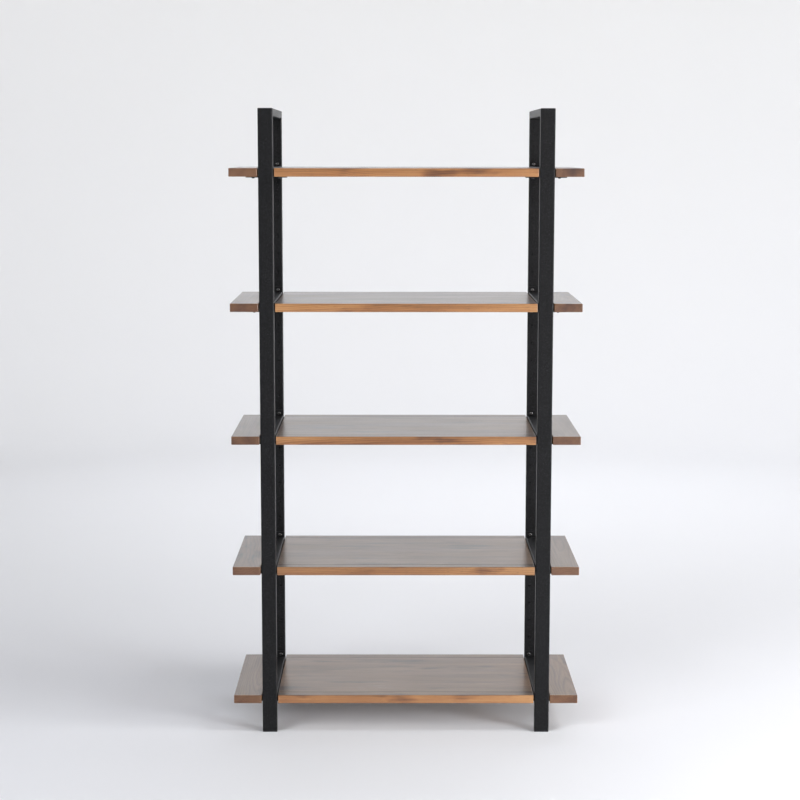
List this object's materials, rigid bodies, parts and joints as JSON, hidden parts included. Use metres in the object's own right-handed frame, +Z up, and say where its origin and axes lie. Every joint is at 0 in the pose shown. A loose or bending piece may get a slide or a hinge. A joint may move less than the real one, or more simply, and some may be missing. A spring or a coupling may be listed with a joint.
{
  "type": "bookcase with adjustable shelves",
  "caption": "Open bookcase: two black steel loop frames carry wooden shelves that hang on studs at adjustable heights, with wings outside the frames.",
  "frame": {"origin": "on the floor, in the middle of the footprint", "axes": "+X along the shelves to the right, +Y from front to back, +Z up"},
  "size_m": [1, 0.45, 1.8],
  "materials": {
    "frame_paint": "fine textured satin powder coat, charcoal black",
    "panel_wood": "dark stain under satin lacquer, grain along the shelf",
    "strip_wood": "satin lacquer, golden brown, grain along the shelf",
    "wing_wood": "dark stain under satin lacquer, grain from front to back, darker end grain",
    "foot_plastic": "matte black",
    "stud_steel": "dulled zinc plate",
    "screw_steel": "blacked"
  },
  "bodies": {
    "frames": {"left_front_post": "frame_paint", "left_front_foot_cap": "foot_plastic", "left_rear_post": "frame_paint", "left_rear_foot_cap": "foot_plastic", "left_top_rail": "frame_paint", "left_hanger_studs": "stud_steel", "right_front_post": "frame_paint", "right_front_foot_cap": "foot_plastic", "right_rear_post": "frame_paint", "right_rear_foot_cap": "foot_plastic", "right_top_rail": "frame_paint", "right_hanger_studs": "stud_steel"},
    "shelf_1": {"shelf_1_centre_panel": "panel_wood", "shelf_1_front_strip": "strip_wood", "shelf_1_rear_strip": "strip_wood", "shelf_1_left_wing": "wing_wood", "shelf_1_right_wing": "wing_wood", "shelf_1_left_crossbar": "frame_paint", "shelf_1_right_crossbar": "frame_paint", "shelf_1_hanger_brackets": "frame_paint", "shelf_1_wood_screws": "screw_steel"},
    "shelf_2": {"shelf_2_centre_panel": "panel_wood", "shelf_2_front_strip": "strip_wood", "shelf_2_rear_strip": "strip_wood", "shelf_2_left_wing": "wing_wood", "shelf_2_right_wing": "wing_wood", "shelf_2_left_crossbar": "frame_paint", "shelf_2_right_crossbar": "frame_paint", "shelf_2_hanger_brackets": "frame_paint", "shelf_2_wood_screws": "screw_steel"},
    "shelf_3": {"shelf_3_centre_panel": "panel_wood", "shelf_3_front_strip": "strip_wood", "shelf_3_rear_strip": "strip_wood", "shelf_3_left_wing": "wing_wood", "shelf_3_right_wing": "wing_wood", "shelf_3_left_crossbar": "frame_paint", "shelf_3_right_crossbar": "frame_paint", "shelf_3_hanger_brackets": "frame_paint", "shelf_3_wood_screws": "screw_steel"},
    "shelf_4": {"shelf_4_centre_panel": "panel_wood", "shelf_4_front_strip": "strip_wood", "shelf_4_rear_strip": "strip_wood", "shelf_4_left_wing": "wing_wood", "shelf_4_right_wing": "wing_wood", "shelf_4_left_crossbar": "frame_paint", "shelf_4_right_crossbar": "frame_paint", "shelf_4_hanger_brackets": "frame_paint", "shelf_4_wood_screws": "screw_steel"},
    "shelf_5": {"shelf_5_centre_panel": "panel_wood", "shelf_5_front_strip": "strip_wood", "shelf_5_rear_strip": "strip_wood", "shelf_5_left_wing": "wing_wood", "shelf_5_right_wing": "wing_wood", "shelf_5_left_crossbar": "frame_paint", "shelf_5_right_crossbar": "frame_paint", "shelf_5_hanger_brackets": "frame_paint", "shelf_5_wood_screws": "screw_steel"}
  },
  "joints": [
    {"name": "shelf_1_lift", "type": "slide", "parent": "frames", "child": "shelf_1", "axis": [0, 0, 1], "range_m": [0, 0.3264]},
    {"name": "shelf_2_lift", "type": "slide", "parent": "frames", "child": "shelf_2", "axis": [0, 0, 1], "range_m": [0, 0.3264]},
    {"name": "shelf_3_lift", "type": "slide", "parent": "frames", "child": "shelf_3", "axis": [0, 0, 1], "range_m": [0, 0.3264]},
    {"name": "shelf_4_lift", "type": "slide", "parent": "frames", "child": "shelf_4", "axis": [0, 0, 1], "range_m": [0, 0.3264]},
    {"name": "shelf_5_lift", "type": "slide", "parent": "frames", "child": "shelf_5", "axis": [0, 0, 1], "range_m": [0, 0.1088]}
  ]
}
